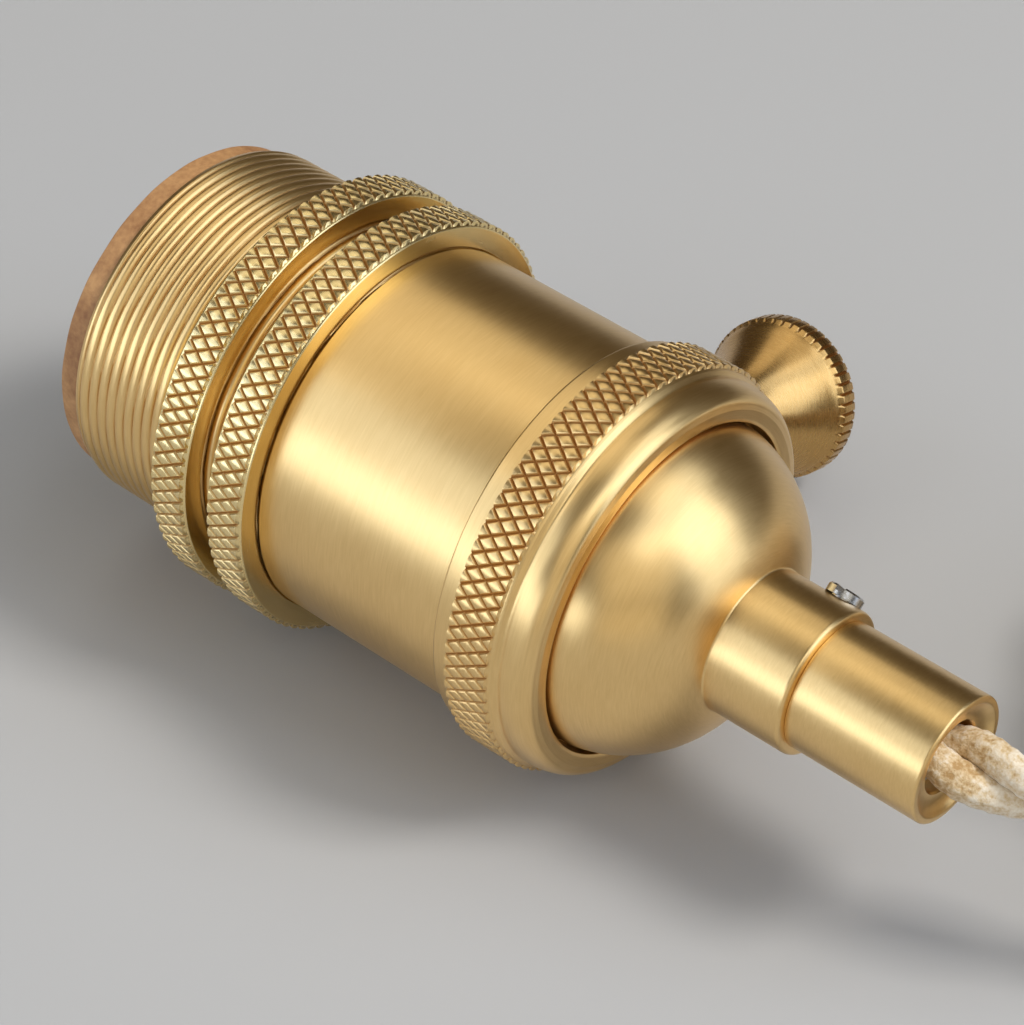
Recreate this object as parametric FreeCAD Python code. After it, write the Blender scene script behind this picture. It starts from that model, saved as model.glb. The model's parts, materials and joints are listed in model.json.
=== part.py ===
import FreeCAD, Part
import math
import os

# Switched E27 pendant lamp holder, lying on its side. Millimetres.
# x runs along the lamp axis from the mouth (x = 0 at the skirt's rim) to the cord, z is up,
# and the shade rings and the switch knob rest on the floor.

V = FreeCAD.Vector
LAMP_AXIS = V(1, 0, 0)

# body shell
body_radius = 20.33
body_length = 24.13             # shoulder to the cap ring
shoulder_step = 0.58            # body surface down to the crest of the shade-ring thread
shoulder_round = 0.45
skirt_length = 26.44            # rim to the shoulder that stops the rear shade ring
skirt_wall = 0.85
skirt_rim_chamfer = 0.35
cap_thread_step = 0.73          # body surface down to the male thread under the cap ring
cap_thread_length = 6.9
cap_thread_relief = 0.15        # the bore is this much smaller behind the cap thread

# fibre liner
liner_wall = 0.85
liner_clearance = 0.05
liner_stand_out = 2.8           # how far it stands out of the skirt

# diamond knurls, common to the three rings
knurl_depth = 0.34
knurl_land = 0.56               # flat share of a diamond's width
knurl_edge_step = 0.12          # plain edge below the grooves

# shade rings
ring_depth = 3.4                # thread crest to the knurl's crest
ring_knurl_width = 3.85
ring_knurl_count = 90           # grooves each way
ring_knurl_rows = 3
ring_lip_drop = 1.15            # knurl's crest down to the front lip
ring_lip_width = 1.0
ring_rear_width = 0.34          # chamfered face behind the knurl
ring_rear_fall = 0.35
ring_bore_clearance = 0.06
ring_bore_chamfer = 0.65
ring_gap = 2.5                  # space for the shade between the rings

# cap ring
cap_knurl_rise = 2.05           # knurl's crest above the body surface
cap_knurl_width = 5.0
cap_knurl_count = 86            # grooves each way
cap_knurl_rows = 4
cap_lip_drop = 0.93             # knurl's crest down to the front lip
cap_lip_width = 2.26
cap_lip_round = 0.3
cap_cove_drop = 0.83            # knurl's crest down to the waist before the bead
cap_cove_width = 1.1
cap_bead_width = 2.75
cap_crease_drop = 1.55          # waist down to the crease between the bead and the front roll
cap_roll_width = 1.8            # crease down to the mouth
cap_shoulder_thickness = 3.2
cap_thread_clearance = 0.05

# dome and neck
dome_wall = 1.0
dome_flange_clearance = 0.25    # flange to the cap ring's bore
dome_flange_thickness = 1.0
dome_gap = 0.25                 # dark gap between the dome and the cap ring's mouth
dome_base_length = 3.0
dome_height = 11.1
dome_bulge = 0.672              # where the dome's middle lies between the neck's and the base's radius
dome_middle = 0.604             # and how far along its height
neck_radius = 7.75
neck_length = 9.15
neck_end_round = 0.55
neck_root_round = 0.8
neck_wall = 2.55

# cord grip
grip_radius = 6.83
grip_length = 15.0
grip_stub_length = 7.0
grip_stub_clearance = 0.04
grip_bore = 3.87
grip_dish_radius = 6.1
grip_dish_depth = 1.5
grip_edge_round = 0.3
grip_seat_radius = 4.5          # inner bore that holds the nylon collet
grip_seat_wall = 2.6            # end wall in front of the collet
collet_length = 9.0
collet_clearance = 0.05
collet_slot = 0.8

# neck screw
neck_screw_head = 1.95
neck_screw_rise = 0.95
neck_screw_shank = 1.4
neck_screw_inset = 3.3          # from the neck's end
neck_screw_angle = 37.0         # above the horizontal, on the knob's side

# screw slots
slot_share = 0.24               # slot width over head diameter
slot_depth_share = 0.6          # slot depth over head height

# porcelain insulator and lamp shell
porcelain_clearance = 0.15
porcelain_length = 27.0
porcelain_stand_out = 2.43      # past the body's end, into the dome
porcelain_boss_step = 1.4       # the boss goes inside the liner
porcelain_boss_length = 1.2
contact_well_radius = 7.0
contact_well_depth = 4.5
screw_shell_pitch = 3.62        # E27 thread
screw_shell_root = 13.32
screw_shell_depth = 0.99        # root in to the crest
screw_shell_sheet = 0.35
screw_shell_turns = 6
screw_shell_neck = 1.18         # plain length between the thread and the base
shell_base_sheet = 0.5
shell_base_hole = 7.3
shell_screw_pitch_radius = 9.9
shell_screw_head = 1.7
shell_screw_head_height = 1.0
shell_screw_shank = 1.1
shell_screw_length = 5.0

# centre contact
tongue_width = 5.0
tongue_sheet = 0.45
tongue_root_length = 4.6
tongue_rise = 4.6
tongue_reach = 6.4
contact_button_radius = 2.2
contact_button_height = 0.9
tongue_screw_head = 1.5
tongue_screw_length = 4.0

# switch
switch_inset = 7.18             # switch axis, in front of the body's end
knob_rim_radius = 9.0
knob_rim_width = 2.5 
knob_reach = 47.39              # lamp axis to the rim's front edge
knob_teeth = 50
knob_tooth_depth = 0.36
knob_tooth_land = 0.62          # crest share of a tooth's pitch
knob_edge_chamfer = 0.3
knob_face_rise = 1.0
knob_hub_radius = 3.7
knob_hub_length = 7.5
knob_flare_lip = 0.35
knob_waist_radius = 3.25
spindle_radius = 2.0
spindle_fit = 0.04
spindle_end = 3.0               # inner end, from the lamp axis
spindle_in_knob = 9.0
grub_radius = 1.2
grub_length = 2.2
grub_inset = 2.6
bush_radius = 3.5
bush_flange_radius = 5.5
bush_flange_thickness = 1.4
bush_seat_clearance = 0.05      # flange to the shell's inner wall
nut_flats = 9.5
nut_height = 2.2
nut_stand_off = 0.1
knob_gap = 0.5                  # knob hub to nut
rotor_radius = 5.2
rotor_hollow = 4.3              # radius between the lobes
rotor_lobes = 4
rotor_length = 7.0
rotor_start = 4.2
switch_well_radius = 7.6
switch_well_floor = 2.4
contact_leaf_sheet = 0.4
contact_leaf_width = 4.0
contact_leaf_gap = 0.35         # leaf to the rotor's lobes

# terminals
terminal_width = 5.6
terminal_height = 6.4
terminal_length = 6.0
terminal_spacing = 16.0
terminal_hole = 1.25
terminal_hole_depth = 5.0
terminal_screw_head = 1.5
terminal_screw_rise = 0.9
terminal_screw_length = 1.8

# twisted cord
cord_radius = 3.0
cord_start_inset = 17.9         # cord's inner end, from the grip's end face
core_radius = 1.15
core_dip = 3.0
core_terminal_run = 9.0         # straight out of the terminal
core_bend_run = 6.5             # then in towards the axis
core_bend_offset = 4.6
core_end_run = 5.0              # straight into the cord
coil_turns_wide = 2
coil_layers = 3
coil_radius = 30.0              # middle of the turns
coil_turns = 4.7
tip_radius = 1.3
tip_length = 15.0
tip_bare_radius = 0.65
tip_bare_length = 9.0
tip_climb = 17.0                # degrees

# places worked out from the sizes above
skirt_radius = body_radius - shoulder_step
skirt_bore = skirt_radius - skirt_wall
cap_thread_radius = body_radius - cap_thread_step
thread_bore = skirt_bore - cap_thread_relief
ring_knurl_radius = skirt_radius + ring_depth
ring_lip_radius = ring_knurl_radius - ring_lip_drop
cap_knurl_radius = body_radius + cap_knurl_rise
cap_lip_radius = cap_knurl_radius - cap_lip_drop
cap_cove_radius = cap_knurl_radius - cap_cove_drop
cap_crease_radius = cap_cove_radius - cap_crease_drop
cap_mouth_radius = cap_crease_radius - cap_roll_width
cap_bore = cap_thread_radius + cap_thread_clearance
dome_flange_radius = cap_bore - dome_flange_clearance
dome_base_radius = cap_mouth_radius - dome_gap
dome_mid_radius = neck_radius + (dome_base_radius - neck_radius) * dome_bulge
dome_mid_height = dome_height * dome_middle
neck_bore = neck_radius - neck_wall
screw_shell_crest = screw_shell_root - screw_shell_depth
floor_z = -ring_knurl_radius
body_end = skirt_length + body_length
shell_end = body_end + cap_thread_length
porcelain_rear = body_end + porcelain_stand_out
porcelain_front = porcelain_rear - porcelain_length
shell_base_x = porcelain_front - shell_base_sheet
screw_shell_start = shell_base_x - screw_shell_neck - screw_shell_turns * screw_shell_pitch
switch_x = body_end - switch_inset
ring_width = ring_lip_width + ring_knurl_width + ring_rear_width
rear_ring_x = skirt_length - ring_width
front_ring_x = rear_ring_x - ring_gap - ring_width
cap_knurl_x = body_end + cap_lip_width
cap_knurl_end = cap_knurl_x + cap_knurl_width
cap_mouth_x = cap_knurl_end + 0.3 + cap_cove_width + cap_bead_width
cap_shoulder_x = cap_mouth_x - cap_shoulder_thickness
dome_flange_x = cap_shoulder_x - dome_flange_thickness
dome_start_x = cap_shoulder_x + dome_base_length - 0.3
neck_x = dome_start_x + dome_height
neck_end = neck_x + neck_length
grip_end = neck_end + grip_length
knob_tilt = math.asin(ring_knurl_radius / math.hypot(knob_reach, knob_rim_radius))
knob_tilt -= math.atan2(knob_rim_radius, knob_reach)
switch_axis = V(0, math.cos(knob_tilt), -math.sin(knob_tilt))
switch_centre = V(switch_x, 0, 0)
nut_base = body_radius + nut_stand_off
knob_base = nut_base + nut_height + knob_gap
cord_inner_end = grip_end - cord_start_inset
cord_rest_z = floor_z + cord_radius

# The cord's chosen points after its straight start inside the grip.
cord_points = [
    V(99.0, 0.0, 0.0),
    V(110.0, 4.6, -2.4),
    V(119.3, 9.0, -8.0),
    V(127.5, 12.8, -15.8),
    V(135.7, 16.8, cord_rest_z),
    V(144.0, 21.5, cord_rest_z),
]


def edges_of(start, steps):
    """Line and arc edges through (x, r) points; a step of two points is an arc through the first."""
    point = V(start[0], start[1], 0)
    edges = []
    for step in steps:
        if isinstance(step[0], tuple):
            end = V(step[1][0], step[1][1], 0)
            edges.append(Part.Arc(point, V(step[0][0], step[0][1], 0), end).toShape())
        else:
            end = V(step[0], step[1], 0)
            edges.append(Part.LineSegment(point, end).toShape())
        point = end
    return edges


def lathe(start, *steps):
    """Solid turned about the x axis from a closed (x, r) outline."""
    outline = Part.Wire(edges_of(start, list(steps) + [start]))
    return Part.Face(outline).revolve(V(0, 0, 0), LAMP_AXIS, 360)


def rod(x0, x1, radius):
    """Cylinder along x."""
    return Part.makeCylinder(radius, x1 - x0, V(x0, 0, 0), LAMP_AXIS)


def tube(x0, x1, outer, inner):
    """Plain tube along x."""
    return lathe((x0, inner), (x0, outer), (x1, outer), (x1, inner))


def aim(shape, centre, direction):
    """Turns a shape made along x to another direction and carries its origin to centre."""
    placed = shape.copy()
    move = FreeCAD.Placement(centre, FreeCAD.Rotation(LAMP_AXIS, direction))
    placed.Placement = move.multiply(shape.Placement)
    return placed


def on_switch_axis(shape):
    """Puts a shape made along x on the switch axis, x counted from the lamp axis."""
    return aim(shape, switch_centre, switch_axis)


def slotted_screw(head_radius, head_height, shank_radius, shank_length):
    """Cheese-head screw along x: the head rises from x = 0, the shank goes back from it."""
    bevel = 0.2 * head_height
    screw = lathe(
        (-shank_length, 0),
        (-shank_length, shank_radius),
        (0, shank_radius),
        (0, head_radius),
        (head_height - bevel, head_radius),
        (head_height, head_radius - bevel),
        (head_height, 0),
    )
    width = 2 * head_radius * slot_share
    depth = head_height * slot_depth_share
    slot = Part.makeBox(depth, width, 4 * head_radius, V(head_height - depth, -width / 2, -2 * head_radius))
    return screw.cut(slot)


def knurl_faces(x0, width, crest, starts, rows):
    """Flat-topped diamonds between crossed grooves, as plane faces, and their two zigzag end outlines."""
    root = crest - knurl_depth
    apex = root + knurl_depth / (1 - knurl_land)
    step = math.pi / starts
    pitch = width / rows

    def at(row, column, radius):
        angle = column * step
        return V(x0 + row * pitch, radius * math.cos(angle), radius * math.sin(angle))

    def clipped(row, column, corner):
        outward = V(0, math.cos(column * step), math.sin(column * step))
        top = at(row, column, apex)
        share = (apex - crest) / (apex - outward.dot(corner))
        return top + (corner - top) * share

    faces = []
    ends = {0: [], rows: []}
    for row in range(rows + 1):
        for column in range(2 * starts):
            if (row + column) % 2 == 0:
                continue
            around = [(row, column - 1), (row + 1, column), (row, column + 1), (row - 1, column)]
            corners = [at(r, c, root) if 0 <= r <= rows else None for r, c in around]
            tops = [corner and clipped(row, column, corner) for corner in corners]
            for i in range(4):
                if corners[i] and corners[i - 3]:
                    quad = [corners[i], corners[i - 3], tops[i - 3], tops[i]]
                    faces.append(Part.Face(Part.makePolygon(quad + quad[:1])))
            flat = [top for top in tops if top]
            faces.append(Part.Face(Part.makePolygon(flat + flat[:1])))
            if row in ends:
                ends[row] += [corners[0], tops[0], tops[2]]
    return faces, ends[0], ends[rows]


def knurled_ring(x0, width, crest, starts, rows, section):
    """Closed ring: a knurled band and, turned about x, the (x, r) section behind it."""
    faces, front, back = knurl_faces(x0, width, crest, starts, rows)
    for outline, (x, radius) in ((front, section[-1]), (back, section[0])):
        zigzag = Part.makePolygon(outline + outline[:1])
        circle = Part.Wire(Part.Vertex(x, radius, 0).revolve(V(0, 0, 0), LAMP_AXIS, 360).Edges)
        faces.append(Part.makeFace([zigzag, circle], "Part::FaceMakerBullseye"))
    turned = Part.Wire(edges_of(section[0], section[1:])).revolve(V(0, 0, 0), LAMP_AXIS, 360)
    shell = Part.makeShell(faces + turned.Faces)
    shell.sewShape()
    ring = Part.makeSolid(shell)
    if ring.Volume < 0:
        ring.reverse()
    return ring


def body_shell():
    shell = lathe(
        (0, skirt_bore),
        (0, skirt_radius - skirt_rim_chamfer),
        (skirt_rim_chamfer, skirt_radius),
        (skirt_length, skirt_radius),
        (skirt_length, body_radius - shoulder_round),
        ((skirt_length + 0.29 * shoulder_round, body_radius - 0.29 * shoulder_round),
         (skirt_length + shoulder_round, body_radius)),
        (body_end, body_radius),
        (body_end, cap_thread_radius),
        (shell_end, cap_thread_radius),
        (shell_end, thread_bore),
        (body_end, thread_bore),
        (body_end, skirt_bore),
    )
    return shell.cut(on_switch_axis(rod(0, 2 * body_radius, bush_radius + 0.05)))


def fibre_liner():
    outer = skirt_bore - liner_clearance
    end = porcelain_front + porcelain_boss_length
    return tube(-liner_stand_out, end, outer, outer - liner_wall)


def shade_ring(x0):
    knurl_x = x0 + ring_lip_width
    knurl_end = knurl_x + ring_knurl_width
    end = x0 + ring_width
    bore = skirt_radius + ring_bore_clearance
    root = ring_knurl_radius - knurl_depth - knurl_edge_step
    section = [
        (knurl_end, root),
        (end, root - ring_rear_fall),
        (end, bore + ring_bore_chamfer),
        (end - ring_bore_chamfer, bore),
        (x0 + 0.4, bore),
        (x0, bore + 0.4),
        (x0, ring_lip_radius - 0.25),
        (x0 + 0.25, ring_lip_radius),
        (knurl_x, ring_lip_radius),
    ]
    return knurled_ring(knurl_x, ring_knurl_width, ring_knurl_radius,
                        ring_knurl_count, ring_knurl_rows, section)


def cap_ring():
    root = cap_knurl_radius - knurl_depth - knurl_edge_step
    bore = cap_bore
    cove_x = cap_knurl_end + 0.3 + cap_cove_width
    mouth_roll = 0.22
    section = [
        (cap_knurl_end, root),
        (cap_knurl_end + 0.3, root - 0.25),
        ((cap_knurl_end + 0.3 + 0.6 * cap_cove_width, cap_cove_radius - 0.08),
         (cove_x, cap_cove_radius)),
        ((cove_x + 0.62 * cap_bead_width, cap_cove_radius - 0.2),
         (cap_mouth_x, cap_crease_radius)),
        ((cap_mouth_x + mouth_roll, 0.45 * cap_crease_radius + 0.55 * cap_mouth_radius),
         (cap_mouth_x, cap_mouth_radius)),
        (cap_shoulder_x, cap_mouth_radius),
        (cap_shoulder_x, bore),
        (body_end, bore),
        (body_end, cap_lip_radius - cap_lip_round),
        ((body_end + 0.29 * cap_lip_round, cap_lip_radius - 0.29 * cap_lip_round),
         (body_end + cap_lip_round, cap_lip_radius)),
        (cap_knurl_x, cap_lip_radius),
    ]
    return knurled_ring(cap_knurl_x, cap_knurl_width, cap_knurl_radius,
                        cap_knurl_count, cap_knurl_rows, section)


def dome_cap():
    inner_base = dome_base_radius - dome_wall
    dome = lathe(
        (dome_flange_x, inner_base),
        (dome_flange_x, dome_flange_radius),
        (cap_shoulder_x, dome_flange_radius),
        (cap_shoulder_x, dome_base_radius),
        (dome_start_x, dome_base_radius),
        ((dome_start_x + dome_mid_height, dome_mid_radius), (neck_x, neck_radius)),
        (neck_end, neck_radius),
        (neck_end, neck_bore),
        (neck_x - dome_wall, neck_bore),
        (neck_x - dome_wall, neck_radius - 0.4),
        ((dome_start_x + dome_mid_height - 0.7 * dome_wall, dome_mid_radius - 0.8 * dome_wall),
         (dome_start_x, inner_base)),
    )
    dome = dome.makeFillet(neck_root_round, circles(dome, neck_x, neck_radius))
    dome = dome.makeFillet(neck_end_round, circles(dome, neck_end, neck_radius))
    hole = rod(0, 2 * neck_radius, neck_screw_shank + 0.05)
    return dome.cut(aim(hole, V(neck_end - neck_screw_inset, 0, 0), neck_screw_direction()))


def circles(shape, x, radius):
    """Full-circle edges of a turned shape at one place."""
    found = []
    for edge in shape.Edges:
        box = edge.BoundBox
        if abs(box.XMin - x) < 1e-6 and box.XLength < 1e-6 and abs(box.YMax - radius) < 1e-6:
            found.append(edge)
    return found


def neck_screw_direction():
    angle = math.radians(neck_screw_angle)
    return V(0, math.cos(angle), math.sin(angle))


def neck_set_screw():
    stub_radius = neck_bore - grip_stub_clearance
    shank = neck_radius - stub_radius
    screw = slotted_screw(neck_screw_head, neck_screw_rise, neck_screw_shank, shank)
    screw.rotate(V(0, 0, 0), LAMP_AXIS, neck_screw_angle)
    outward = neck_screw_direction()
    return aim(screw, V(neck_end - neck_screw_inset, 0, 0) + outward * neck_radius, outward)


def cord_grip():
    stub = neck_bore - grip_stub_clearance
    seat_end = grip_end - grip_seat_wall
    grip = lathe(
        (neck_end - grip_stub_length, grip_seat_radius),
        (neck_end - grip_stub_length, stub),
        (neck_end, stub),
        (neck_end, grip_radius),
        (grip_end - grip_edge_round, grip_radius),
        ((grip_end - 0.29 * grip_edge_round, grip_radius - 0.29 * grip_edge_round),
         (grip_end, grip_radius - grip_edge_round)),
        (grip_end, grip_dish_radius),
        ((grip_end - 0.72 * grip_dish_depth, 0.4 * grip_bore + 0.6 * grip_dish_radius),
         (grip_end - grip_dish_depth, grip_bore + 0.25)),
        (grip_end - grip_dish_depth - 0.25, grip_bore),
        (seat_end, grip_bore),
        (seat_end, grip_seat_radius),
    )
    return grip


def grip_collet():
    end = grip_end - grip_seat_wall
    outer = grip_seat_radius - collet_clearance
    collet = tube(end - collet_length, end, outer, cord_radius + collet_clearance)
    slot = Part.makeBox(collet_length, collet_slot, outer, V(end - collet_length, -collet_slot / 2, 0))
    return collet.cut(slot)


def insulator_body():
    outer = thread_bore - porcelain_clearance
    shoulder = porcelain_front + porcelain_boss_length
    body = lathe(
        (porcelain_front + contact_well_depth, 0),
        (porcelain_front + contact_well_depth, contact_well_radius),
        (porcelain_front, contact_well_radius),
        (porcelain_front, outer - porcelain_boss_step),
        (shoulder, outer - porcelain_boss_step),
        (shoulder, outer),
        (porcelain_rear, outer),
        (porcelain_rear, 0),
    )
    well = on_switch_axis(rod(switch_well_floor, 2 * body_radius, switch_well_radius))
    body = body.cut(well)
    for direction in (-1, 1):
        hole = rod(porcelain_front - 1, porcelain_front + shell_screw_length, shell_screw_shank)
        hole.translate(V(0, 0, direction * shell_screw_pitch_radius))
        body = body.cut(hole)
    return body


def screw_shell():
    """Rolled thread shell: crest and root cones at the E27 pitch, on a flat base."""
    half = screw_shell_pitch / 2
    inner = [(screw_shell_start - 1.0, screw_shell_root + 0.2), (screw_shell_start, screw_shell_root)]
    for turn in range(screw_shell_turns):
        x = screw_shell_start + turn * screw_shell_pitch
        inner.append((x + half, screw_shell_crest))
        inner.append((x + 2 * half, screw_shell_root))
    inner.append((shell_base_x, screw_shell_root))
    outer = [(x, radius + screw_shell_sheet) for x, radius in inner[:-1]]
    outer.append((porcelain_front, screw_shell_root + screw_shell_sheet))
    base = [(shell_base_x, shell_base_hole), (porcelain_front, shell_base_hole)]
    outline = inner + base + outer[::-1]
    shell = lathe(outline[0], *outline[1:])
    for direction in (-1, 1):
        hole = rod(0, porcelain_front + 1, shell_screw_shank)
        hole.translate(V(0, 0, direction * shell_screw_pitch_radius))
        shell = shell.cut(hole)
    return shell


def shell_screws():
    screws = []
    for direction in (-1, 1):
        screw = slotted_screw(shell_screw_head, shell_screw_head_height,
                              shell_screw_shank, shell_screw_length + shell_base_sheet - 0.1)
        screws.append(aim(screw, V(shell_base_x, 0, direction * shell_screw_pitch_radius), V(-1, 0, 0)))
    return Part.makeCompound(screws)


def centre_contact():
    """Spring tongue bent up from the floor of the well, with a domed contact on its tip."""
    floor_x = porcelain_front + contact_well_depth
    root_z = -contact_well_radius + 0.4
    bend_z = root_z + tongue_root_length
    tip_z = root_z + tongue_root_length + tongue_reach
    top_x = floor_x - tongue_rise
    side = [
        (floor_x, root_z), (floor_x, bend_z), (top_x + tongue_sheet, tip_z - 2.6),
        (top_x + tongue_sheet, tip_z), (top_x, tip_z), (top_x, tip_z - 2.6),
        (floor_x - tongue_sheet, bend_z), (floor_x - tongue_sheet, root_z),
    ]
    points = [V(x, -tongue_width / 2, z) for x, z in side]
    strip = Part.Face(Part.makePolygon(points + points[:1])).extrude(V(0, tongue_width, 0))
    button = lathe(
        (top_x, 0),
        (top_x, contact_button_radius),
        ((top_x - 0.75 * contact_button_height, 0.7 * contact_button_radius),
         (top_x - contact_button_height, 0)),
    )
    button.translate(V(0, 0, tip_z - contact_button_radius - 0.1))
    hole = rod(0, porcelain_rear, 0.8)
    hole.translate(V(0, 0, tongue_screw_z()))
    return strip.fuse(button).cut(hole)


def tongue_screw_z():
    return -contact_well_radius + 0.4 + tongue_root_length / 2


def tongue_screw():
    x = porcelain_front + contact_well_depth - tongue_sheet
    screw = slotted_screw(tongue_screw_head, 0.8, 0.75, tongue_sheet)
    return aim(screw, V(x, 0, tongue_screw_z()), V(-1, 0, 0))


def knob_body():
    rim_back = knob_reach - knob_rim_width
    root = knob_rim_radius - knob_tooth_depth
    flare_start = knob_base + knob_hub_length
    flare = rim_back - flare_start
    blank = lathe(
        (knob_base, 0),
        (knob_base, knob_hub_radius),
        (knob_base + 1.2, knob_hub_radius),
        ((knob_base + 0.62 * knob_hub_length, knob_waist_radius), (flare_start, knob_waist_radius + 0.35)),
        ((flare_start + 0.62 * flare, 0.42 * root + 0.58 * knob_waist_radius),
         (rim_back - knob_flare_lip, root - 0.15)),
        (rim_back, root),
        (knob_reach, root),
        ((knob_reach + 0.8 * knob_face_rise, 0.5 * root), (knob_reach + knob_face_rise, 0)),
    )
    teeth = toothed_rim(rim_back, root)
    return blank.fuse(teeth).removeSplitter()


def toothed_rim(rim_back, root):
    pitch = 2 * math.pi / knob_teeth
    points = []
    for tooth in range(knob_teeth):
        for share, radius in ((-0.5 * knob_tooth_land, knob_rim_radius), (0.5 * knob_tooth_land, knob_rim_radius),
                              (0.5, root)):
            angle = (tooth + share) * pitch
            points.append(V(rim_back, radius * math.cos(angle), radius * math.sin(angle)))
    rim = Part.Face(Part.makePolygon(points + points[:1])).extrude(V(knob_rim_width, 0, 0))
    edge = knob_edge_chamfer
    keep = lathe(
        (rim_back, 0),
        (rim_back, knob_rim_radius - edge),
        (rim_back + 0.4 * edge, knob_rim_radius + 0.1),
        (knob_reach, knob_rim_radius + 0.1),
        (knob_reach, 0),
    )
    return rim.common(keep)


def switch_knob():
    socket = rod(knob_base - 1, knob_base + spindle_in_knob, spindle_radius + spindle_fit)
    knob = on_switch_axis(knob_body().cut(socket))
    return knob.cut(aim(rod(0, 2 * knob_hub_radius, grub_radius), grub_centre(), V(-1, 0, 0)))


def grub_centre():
    return switch_centre + switch_axis * (knob_base + grub_inset)


def knob_grub_screw():
    end = spindle_radius + spindle_fit + grub_length - 0.6
    screw = rod(spindle_radius, end, grub_radius - 0.02)
    slot = Part.makeBox(0.7, 0.45, 4 * grub_radius, V(end - 0.7, -0.225, -2 * grub_radius))
    return aim(screw.cut(slot), grub_centre(), V(-1, 0, 0))


def switch_spindle():
    return on_switch_axis(rod(spindle_end, knob_base + spindle_in_knob - 0.3, spindle_radius))


def switch_rotor():
    """Four-lobed cam that lifts the contact leaves."""
    points = []
    for lobe in range(rotor_lobes):
        for share, radius in ((-0.16, rotor_radius), (0.16, rotor_radius), (0.5, rotor_hollow)):
            angle = (lobe + share) * 2 * math.pi / rotor_lobes
            points.append(V(rotor_start, radius * math.cos(angle), radius * math.sin(angle)))
    cam = Part.Face(Part.makePolygon(points + points[:1])).extrude(V(rotor_length, 0, 0))
    return on_switch_axis(cam.cut(rod(0, porcelain_rear, spindle_radius + spindle_fit)))


def contact_leaf(side):
    """One fixed leaf of the switch, beside the rotor, with its foot on the well's floor."""
    inner = rotor_radius + contact_leaf_gap
    foot = switch_well_floor
    end = rotor_start + rotor_length
    leaf = Part.makeBox(end - foot, contact_leaf_sheet, contact_leaf_width,
                        V(foot, inner, -contact_leaf_width / 2))
    base = Part.makeBox(contact_leaf_sheet, 2.2, contact_leaf_width,
                        V(foot, inner - 1.8, -contact_leaf_width / 2))
    shape = leaf.fuse(base).removeSplitter()
    if side < 0:
        shape.rotate(V(0, 0, 0), LAMP_AXIS, 180)
    return on_switch_axis(shape)


def spindle_bush():
    flange_end = math.sqrt(skirt_bore ** 2 - bush_flange_radius ** 2) - bush_seat_clearance
    inner_end = flange_end - bush_flange_thickness
    return on_switch_axis(lathe(
        (inner_end, spindle_radius + spindle_fit),
        (inner_end, bush_flange_radius),
        (inner_end + bush_flange_thickness, bush_flange_radius),
        (inner_end + bush_flange_thickness, bush_radius),
        (nut_base + nut_height, bush_radius),
        (nut_base + nut_height, spindle_radius + spindle_fit),
    ))


def bush_nut():
    corner = nut_flats / math.sqrt(3)
    points = [V(nut_base, corner * math.cos(math.radians(60 * i)), corner * math.sin(math.radians(60 * i)))
              for i in range(6)]
    nut = Part.Face(Part.makePolygon(points + points[:1])).extrude(V(nut_height - 0.3, 0, 0))
    return on_switch_axis(nut.cut(rod(0, 2 * nut_base, bush_radius + 0.03)))


def terminal(side):
    y = side * terminal_spacing / 2
    block = Part.makeBox(terminal_length, terminal_width, terminal_height,
                         V(porcelain_rear, y - terminal_width / 2, -terminal_height / 2))
    mouth = porcelain_rear + terminal_length
    wire_hole = rod(mouth - terminal_hole_depth, mouth + 1, terminal_hole)
    wire_hole.translate(V(0, y, 0))
    screw_hole = Part.makeCylinder(0.8, terminal_height, V(mouth - 2.5, y, 0), V(0, 0, 1))
    return block.cut(wire_hole).cut(screw_hole)


def terminal_screws():
    screws = []
    for side in (-1, 1):
        screw = slotted_screw(terminal_screw_head, terminal_screw_rise, 0.75, terminal_screw_length)
        place = V(porcelain_rear + terminal_length - 2.5, side * terminal_spacing / 2, terminal_height / 2)
        screws.append(aim(screw, place, V(0, 0, 1)))
    return Part.makeCompound(screws)


def rounded_path(points, report_name=None):
    """Straight runs joined by tangent arcs, each as large as its two runs allow."""
    edges = []
    start = points[0]
    for i in range(1, len(points) - 1):
        before = points[i] - points[i - 1]
        after = points[i + 1] - points[i]
        shorter = min(before.Length, after.Length)
        turn = before.getAngle(after)
        radius = 0.45 * shorter / math.tan(turn / 2)
        reach = 0.45 * shorter
        enter = points[i] - before.normalize() * reach
        leave = points[i] + after.normalize() * reach
        bisector = (enter + leave) * 0.5 - points[i]
        depth = radius / math.cos(turn / 2) - radius
        middle = points[i] + bisector.normalize() * depth
        edges.append(Part.LineSegment(start, enter).toShape())
        edges.append(Part.Arc(enter, middle, leave).toShape())
        if report_name:
            print(report_name, "point", i, "turn", round(math.degrees(turn), 1), "radius", round(radius, 1))
        start = leave
    edges.append(Part.LineSegment(start, points[-1]).toShape())
    return Part.Wire(edges)


def sweep_round(points, radius, report_name=None):
    """Round tube along a rounded path."""
    path = rounded_path(points, report_name)
    section = Part.Wire(Part.makeCircle(radius, points[0], points[1] - points[0]))
    swept = path.makePipeShell([section], True, False)
    if report_name:
        expected = math.pi * radius ** 2 * path.Length
        print(report_name, "length", round(path.Length, 1), "volume over section x length",
              round(swept.Volume / expected, 4))
    return swept


def cord():
    return sweep_round([V(cord_inner_end, 0, 0)] + cord_points, cord_radius, "cord")


def coil_centre():
    """The last run touches the outer turn of the coil."""
    centre = cord_points[-1] + left_of_cord() * (coil_radius + cord_radius)
    return V(centre.x, centre.y, floor_z)


def left_of_cord():
    heading = (cord_points[-1] - cord_points[-2]).normalize()
    return V(-heading.y, heading.x, 0)


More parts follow.
